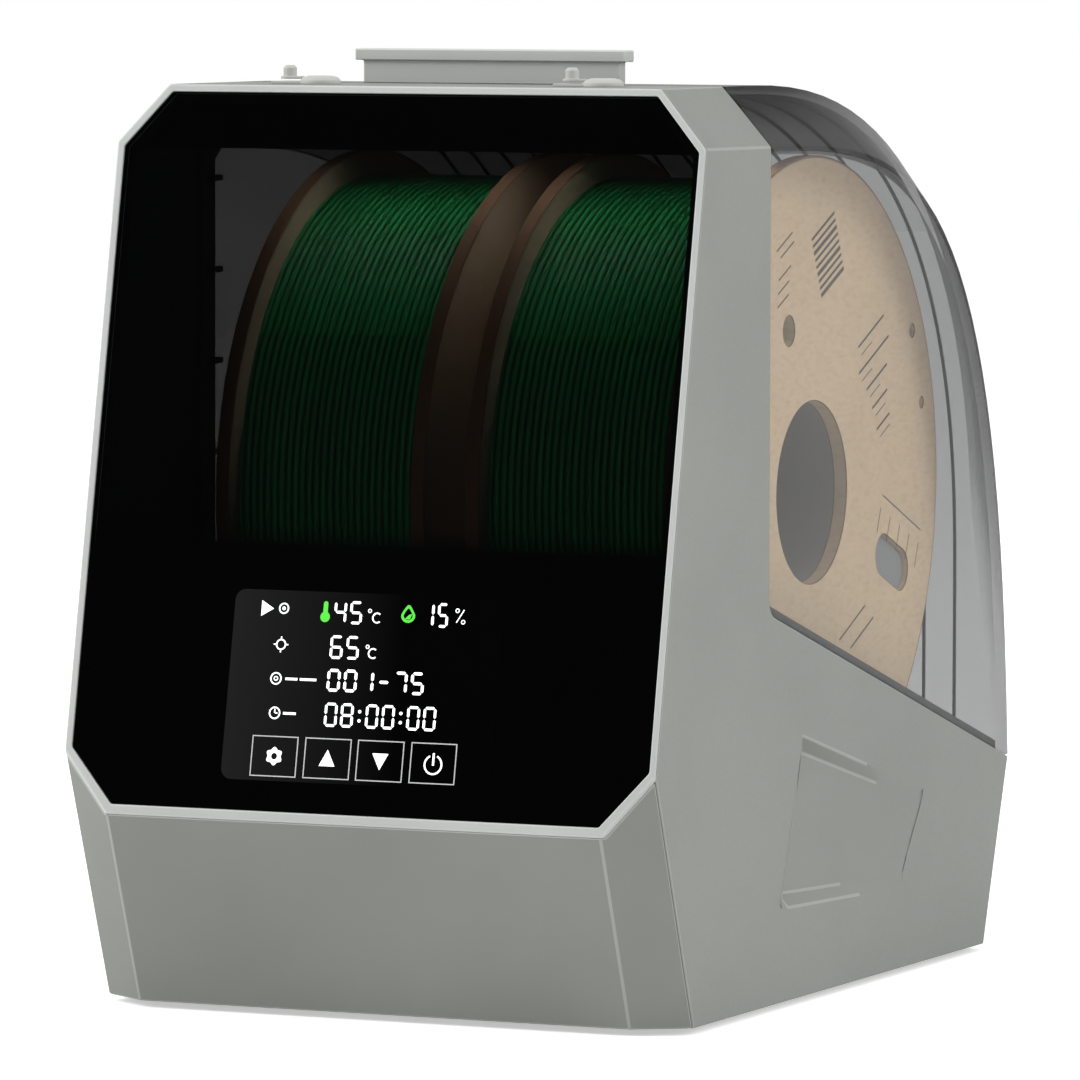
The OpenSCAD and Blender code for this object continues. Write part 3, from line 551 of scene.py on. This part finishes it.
plate(white, [(-33.8, 59.0), (-29.9, 61.25), (-33.8, 63.5)], MARK_LOW, MARK_HIGH)
ring(white, -26.7, 61.4, 1.6, 0.4)
plate(white, circle(-26.7, 61.4, 0.55, steps=12), MARK_LOW, MARK_HIGH)
number(white, "45", -10.7, -1.9, 57.6, 64.2)
degree_sign(white, -0.1, 4.4, 57.5, 62.2)
number(white, "15", 17.4, 25.1, 57.6, 64.6)
for cx, cs in ((27.9, 62.6), (29.9, 59.4)):
    ring(white, cx, cs, 0.65, 0.25)
plate(white, stroke((27.8, 59.2), (30.0, 62.9), 0.3, False), MARK_LOW, MARK_HIGH)

ring(white, -26.7, 51.0, 1.6, 0.4)
for angle in range(0, 360, 90):
    dx, ds = math.cos(math.radians(angle)), math.sin(math.radians(angle))
    near, far = ((-26.7 + r * dx, 51.0 + r * ds) for r in (1.3, 2.3))
    plate(white, stroke(near, far, 0.35, False), MARK_LOW - 0.02, MARK_HIGH + 0.01)
number(white, "65", -11.1, -2.0, 47.5, 54.2)
degree_sign(white, 0.1, 4.0, 47.4, 51.9)

ring(white, -27.4, 41.2, 1.8, 0.4)
ring(white, -27.4, 41.2, 0.7, 0.3)
for x1, x2 in ((-24.4, -20.6), (-19.8, -14.6)):
    plate(white, stroke((x1, 41.2), (x2, 41.2), 0.7, False), MARK_LOW, MARK_HIGH)
number(white, "001-75", -11.2, 19.3, 38.1, 44.6, 0.85)

ring(white, -26.9, 31.3, 1.8, 0.4)
plate(white, stroke((-26.9, 31.3), (-26.9, 32.5), 0.35, False), MARK_LOW, MARK_HIGH)
plate(white, stroke((-26.75, 31.3), (-26.0, 31.3), 0.35, False), MARK_LOW - 0.02, MARK_HIGH - 0.02)
plate(white, stroke((-24.2, 31.3), (-20.2, 31.3), 0.7, False), MARK_LOW, MARK_HIGH)
number(white, "08:00:00", -11.1, 23.9, 28.0, 34.9)
piece("display_marks", white, "housing", mark_white, smooth=False)

green = bmesh.new()
bulb = circle(-13.5, 59.4, 1.5, 118, 422, 20)
stem = circle(-13.5, 63.2, 0.7, 0, 180, 8)
plate(green, [*bulb, *stem], MARK_LOW, MARK_HIGH)
drop = []
for a in [math.radians(10 * i) for i in range(36)]:
    above = max(0.0, math.sin(a))
    drop.append((
        12.6 + 2.2 * math.cos(a) * (1 - 0.25 * above),
        60.7 + (2.1 + 0.9 * above ** 3) * math.sin(a),
    ))
inside = [(12.6 + (x - 12.6) * 0.66, 60.8 + (s - 60.8) * 0.66) for x, s in drop]
frame_plate(green, drop, inside, MARK_LOW, MARK_HIGH)
plate(green, [(11.6, 59.6), (13.2, 59.6), (13.9, 61.2), (12.9, 60.9)], MARK_LOW, MARK_HIGH)
piece("display_signals", green, "housing", mark_green, smooth=False)


# ---------- lid ----------


def sweep(bm, path, x1, x2, out, depth):
    """A bar along a curve in Y and Z, from out of it to depth inside it, between two places in X."""
    loops = []
    for i, (y, z) in enumerate(path):
        before, after = path[max(0, i - 1)], path[min(len(path) - 1, i + 1)]
        dy, dz = after[0] - before[0], after[1] - before[1]
        length = math.hypot(dy, dz)
        ny, nz = -dz / length, dy / length
        loops.append(loop_of(bm, [
            at(x, y + ny * d, z + nz * d) for x, d in ((x1, out), (x2, out), (x2, -depth), (x1, -depth))
        ]))
    skin(bm, loops)


inner_path = [(92.0, 263.0), *bow(MID_CURVE, MID_CURVE[1], 2.5), (285.5, 66.0)]
ribs = bmesh.new()
RIB_STEP, RIB_HALF = 10.2, 0.4
for i in range(-7, 8):
    sweep(ribs, inner_path, i * RIB_STEP - RIB_HALF, i * RIB_STEP + RIB_HALF, -0.05, 0.9)
piece("lid_ribs", ribs, "lid", rib_black, smooth=True)

# ---------- spools ----------

TURN = 2.3
CORE_R, GROOVE_R, TURN_RISE = 45.05, 91.6, 1.1
# The share of each turn, either side of its crease, that is painted darker as shade.
GROOVE_SHADE_SHARE = 0.17
PRINT_TURN = math.radians(24)
SLOT_TURN = math.radians(-21.5)
SLOT_R = 68.2
FLANGE = 2.0 * MM


def turned(u, v, angle):
    """A point in a flange's plane, turned about the spool's axis."""
    return u * math.cos(angle) - v * math.sin(angle), u * math.sin(angle) + v * math.cos(angle)


def windings(side):
    """Wound filament with its turns side by side, each rising into the next, with painted shade in the
    creases between them.
    """
    low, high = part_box(f"filament_{side}")
    x1, x2 = low.x / MM + 0.05, high.x / MM - 0.05
    turns = round((x2 - x1) / TURN)
    pitch = (x2 - x1) / turns
    per_turn, around = 6, 150
    bm = bmesh.new()
    loops = []
    for k in range(turns * per_turn + 1):
        points = []
        for j in range(around):
            angle = 2 * math.pi * j / around
            phase = (k / per_turn + j / around) % 1.0
            r = GROOVE_R + TURN_RISE * math.sqrt(max(0.0, 1 - (2 * phase - 1) ** 2))
            x = x1 + pitch * k / per_turn
            points.append(at(x, SPOOL_Y + r * math.cos(angle), SPOOL_Z + r * math.sin(angle)))
        loops.append(loop_of(bm, points))
    ends = []
    for x in (x1, x2):
        angles = [2 * math.pi * j / around for j in range(around)]
        ends.append(loop_of(bm, [
            at(x, SPOOL_Y + CORE_R * math.cos(a), SPOOL_Z + CORE_R * math.sin(a)) for a in angles
        ]))
    skin(bm, [ends[0], *loops, ends[1], ends[0]], caps=False)
    body = f"spool_{side}"
    green, stands_for = MATERIALS["filament_green"], [f"filament_{side}"]
    made = piece(f"windings_{side}", bm, body, green, stands_for)
    # Faces near each crease take the darker green: painted shade between the turns.
    made.data.materials.append(groove_green)
    for k in range(turns * per_turn):
        for j in range(around):
            phase = ((k + 0.5) / per_turn + (j + 0.5) / around) % 1.0
            in_shaded_groove = min(phase, 1 - phase) < GROOVE_SHADE_SHARE
            made.data.polygons[(k + 1) * around + j].material_index = int(in_shaded_groove)


def flange_print(side):
    """Generic ruled marks on a flange's outer face."""
    sign = 1 if side == "right" else -1
    low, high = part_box(f"spool_flanges_{side}")
    face_x = (high.x if sign > 0 else low.x) / MM
    bm = bmesh.new()

    def mark(start, end, width):
        rim = stroke(start, end, width, False)
        skin(bm, [
            loop_of(bm, [at(face_x + sign * d, SPOOL_Y + y, SPOOL_Z + z) for y, z in rim])
            for d in (-0.1, 0.06)
        ])

    def line(u1, u2, v, width=0.45):
        """A stroke along the print's own axes, which are turned from the frame's."""
        mark(turned(u1, v, PRINT_TURN), turned(u2, v, PRINT_TURN), width)

    for i in range(9):
        line(29.5, 48.5, 50.5 + 2.3 * i, 0.9 if i % 3 else 1.3)
    paragraph = (
        (23.4, 49.6, 71.5), (15.9, 46.9, 72.6), (8.7, 50.6, 68.0), (1.5, 52.3, 65.2), (-6.0, 53.0, 63.9)
    )
    for v, u1, u2 in paragraph:
        line(u1, u2, v, 0.7)
        line(u1 + 1.5, u1 + 10.0, v - 3.2, 0.3)
    upper = ((77.5, 4.0, 17.0), (74.5, 6.0, 17.0), (69.0, 2.0, 12.0), (65.5, 0.0, 9.0), (62.0, -2.0, 7.0))
    for v, u1, u2 in upper:
        line(u1, u2, v, 0.5)
    line(1.4, 23.5, -50.6, 0.6)
    line(8.0, 28.0, -57.0, 0.6)
    ruler = (56.0, -4.2), (86.6, -16.6)
    mark(*ruler, 0.4)
    for i in range(5):
        y, z = (a + (b - a) * i / 4 for a, b in zip(*ruler))
        mark((y - 1.6, z - 3.7), (y - 4.7, z - 11.1), 0.35)
    piece(f"flange_marks_{side}", bm, f"spool_{side}", print_ink, smooth=False)


def slot_backing(side):
    """The pale plate seen through a flange's slot, just behind it."""
    low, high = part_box(f"spool_flanges_{side}")
    face_x = (high.x - FLANGE if side == "right" else low.x + FLANGE) / MM
    bm = bmesh.new()
    rim = [turned(SLOT_R + y, z, SLOT_TURN) for y, z in rounded(-15.0, -7.6, 15.0, 7.6, 7.5)]
    skin(bm, [
        loop_of(bm, [at(face_x + d, SPOOL_Y + y, SPOOL_Z + z) for y, z in rim]) for d in (-0.15, 0.15)
    ])
    piece(f"slot_backing_{side}", bm, f"spool_{side}", slot_grey, smooth=False)


for side in ("left", "right"):
    windings(side)
    flange_print(side)
    slot_backing(side)

# ---------- small clips along the band's inner edge ----------

clips = bmesh.new()
for side in (-1, 1):
    for z in (156, 183, 210, 237):
        low, high = at(side * 85.0, 84.0, z - 0.9), at(side * 88.6, 90.0, z + 0.9)
        made = bmesh.ops.create_cube(clips, size=1.0)["verts"]
        size = high - low
        bmesh.ops.scale(clips, vec=(abs(size.x), size.y, size.z), verts=made)
        bmesh.ops.translate(clips, vec=(low + high) / 2, verts=made)
piece("liner_clips", clips, "housing", MATERIALS["liner_black"], smooth=False)

# ---------- CAD nodes that show as they are ----------

ROUNDING = {
    "main_housing": 0.5, "chin_cover": 0.5, "front_bezel": 0.45, "lid_strip": 0.35, "lid_side_left": 0.25,
    "lid_side_right": 0.25, "lid_handle": 0.45, "outlet_grommet_left": 0.15, "outlet_grommet_right": 0.15,
    "outlet_plug_left": 0.15, "outlet_plug_right": 0.15,
    "spool_flanges_left": 0.3, "spool_flanges_right": 0.3,
    "rear_panel": 0.3, "base_plate": 0.3, "rubber_feet": 0.5, "roller_cradle": 0.3, "roller_front_left": 0.5,
    "roller_front_right": 0.5, "roller_rear_left": 0.5, "roller_rear_right": 0.5, "lid_hinge_leaves": 0.25,
    "base_hinge_leaves": 0.25, "chamber_deck": 0.2, "deck_grille": 0.2,
}
slots = {}
for node in nodes:
    if nodes[node].data.materials:
        slots[node] = nodes[node].data.materials[0].name.split(".")[0]
for node, thing in nodes.items():
    if thing.hide_render:
        continue
    thing.data.materials.clear()
    thing.data.materials.append(hub_card if node.startswith("spool_core") else MATERIALS[slots[node]])
    if node in ROUNDING:
        # Listed slots get a painted highlight on their rounded edges; the spool card gets a partly painted
        # shade.
        soften(thing, ROUNDING[node], EDGE_LIGHT_AND_SHADE.get(slots[node]))

# ---------- floor, light and camera ----------

bm = bmesh.new()
bmesh.ops.create_grid(bm, x_segments=8, y_segments=8, size=6.0)
mesh = bpy.data.meshes.new("floor")
bm.to_mesh(mesh)
bm.free()
floor = bpy.data.objects.new("floor", mesh)
bpy.context.scene.collection.objects.link(floor)
pale, tree, shader, coords, tint = finish_of(
    "floor_pale", (0.86, 0.86, 0.86), 0.9, drift=0.01, depth=0.0, spec=0.05
)
shader.inputs["Emission Color"].default_value = (1.0, 1.0, 1.0, 1.0)
seen = tree.nodes.new("ShaderNodeLightPath")
glow = spread(tree, seen.outputs["Is Camera Ray"], 0.03, 0.5, 0.0, 1.0)
tree.links.new(glow, shader.inputs["Emission Strength"])
mesh.materials.append(pale)
floor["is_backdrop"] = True


def softbox(name, place, target, size, power):
    data = bpy.data.lights.new(name, "AREA")
    data.shape = "RECTANGLE"
    data.size, data.size_y = size
    data.energy = power
    lamp = bpy.data.objects.new(name, data)
    bpy.context.scene.collection.objects.link(lamp)
    lamp.location = place
    lamp.rotation_euler = (Vector(target) - Vector(place)).to_track_quat("-Z", "Y").to_euler()
    return lamp


softbox("key", (-1.6, -1.6, 2.0), (0, 0, 0.12), (1.6, 1.6), 30)
softbox("side", (2.6, 0.4, 1.3), (0, 0, 0.12), (1.6, 1.6), 32)
softbox("top", (0.2, 0.6, 2.4), (0, 0, 0.2), (1.8, 1.8), 12)
softbox("left", (-2.6, -1.0, 1.1), (0, 0, 0.06), (1.2, 1.2), 24)
chamber = (
    ("chamber_top", at(0, 108, 258), at(0, 112, 200), (0.13, 0.03), 0.4, 120),
    ("chamber_fill", on_window(0, 125, -9), on_window(0, 118, -60), (0.14, 0.12), 0.075, 40),
)
for name, place, target, size, power, cone in chamber:
    lamp = softbox(name, place, target, size, power)
    lamp.data.spread = math.radians(cone)
    lamp.visible_camera = False
    lamp.visible_glossy = False

world = bpy.data.worlds.new("studio")
bpy.context.scene.world = world
world.use_nodes = True
tree = world.node_tree
background = tree.nodes["Background"]
background.inputs["Color"].default_value = (1.0, 1.0, 1.0, 1.0)
path = tree.nodes.new("ShaderNodeLightPath")
strength = tree.nodes.new("ShaderNodeMapRange")
strength.inputs["To Min"].default_value = 0.65
strength.inputs["To Max"].default_value = 1.0
tree.links.new(path.outputs["Is Camera Ray"], strength.inputs["Value"])
tree.links.new(strength.outputs["Result"], background.inputs["Strength"])

camera_data = bpy.data.cameras.new("camera")
camera_data.lens = 283.7
camera_data.sensor_width = 36
camera_data.clip_start, camera_data.clip_end = 0.05, 50
camera = bpy.data.objects.new("camera", camera_data)
bpy.context.scene.collection.objects.link(camera)
camera.location = (1.040, -2.3145, 0.311)
camera.rotation_euler = (math.radians(85.93), math.radians(-0.12), math.radians(24.35))
bpy.context.scene.camera = camera
bpy.context.scene.view_settings.view_transform = "Standard"

low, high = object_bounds()
